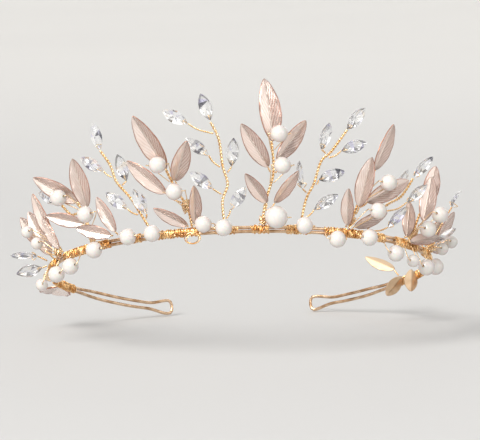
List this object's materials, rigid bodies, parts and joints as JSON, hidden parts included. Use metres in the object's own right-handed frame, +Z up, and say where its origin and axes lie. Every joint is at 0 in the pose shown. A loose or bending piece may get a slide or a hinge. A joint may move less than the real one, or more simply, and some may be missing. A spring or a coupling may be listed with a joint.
{
  "type": "bridal tiara",
  "caption": "Hand-wired bridal tiara: a doubled spring wire band with sprigs of stamped leaves, pearls and marquise crystals",
  "frame": {"origin": "centre of the circle that the band follows, in the middle of the head opening", "axes": "+Z up, -Y to the front, +X to the wearer's left; the band's own axis leans 18 degrees from +Z towards +Y, so the front stands higher than the ends"},
  "size_m": [0.166, 0.136, 0.0981],
  "materials": {
    "gold_wire": "polished yellow gold plate",
    "rose_leaf": "satin rose gold plate, stamped veins",
    "leaf_back": "satin pale gold plate, plain back",
    "pearl": "lustrous ivory pearl coat",
    "crystal": "clear cut crystal"
  },
  "bodies": {
    "root": {"band_wire": "gold_wire", "binding_left_side": "gold_wire", "binding_left_front": "gold_wire", "binding_front": "gold_wire", "binding_right_front": "gold_wire", "binding_right_side": "gold_wire", "centre_stem": "gold_wire", "centre_leaves": "rose_leaf", "centre_pearls": "pearl", "centre_large_pearl": "pearl", "left_front_stem": "gold_wire", "left_front_leaves": "rose_leaf", "left_front_pearls": "pearl", "right_front_stem": "gold_wire", "right_front_leaves": "rose_leaf", "right_front_pearls": "pearl", "left_side_stem": "gold_wire", "left_side_leaves": "rose_leaf", "left_side_pearls": "pearl", "right_side_stem": "gold_wire", "right_side_leaves": "rose_leaf", "right_side_pearls": "pearl", "left_outer_stem": "gold_wire", "left_outer_leaves": "rose_leaf", "left_outer_pearls": "pearl", "left_outer_crystals": "crystal", "right_outer_stem": "gold_wire", "right_outer_leaves": "rose_leaf", "right_outer_pearls": "pearl", "right_outer_crystals": "crystal", "left_end_wires": "gold_wire", "left_end_leaves": "leaf_back", "right_end_wires": "gold_wire", "right_end_leaves": "leaf_back", "spray_1_wire": "gold_wire", "spray_1_crystals": "crystal", "spray_2_wire": "gold_wire", "spray_2_crystals": "crystal", "spray_3_wire": "gold_wire", "spray_3_crystals": "crystal", "spray_4_wire": "gold_wire", "spray_4_crystals": "crystal", "spray_5_wire": "gold_wire", "spray_5_crystals": "crystal", "band_pearls_left": "pearl", "band_pearls_right": "pearl", "band_pearl_wires_left": "gold_wire", "band_pearl_wires_right": "gold_wire"}
  },
  "joints": []
}
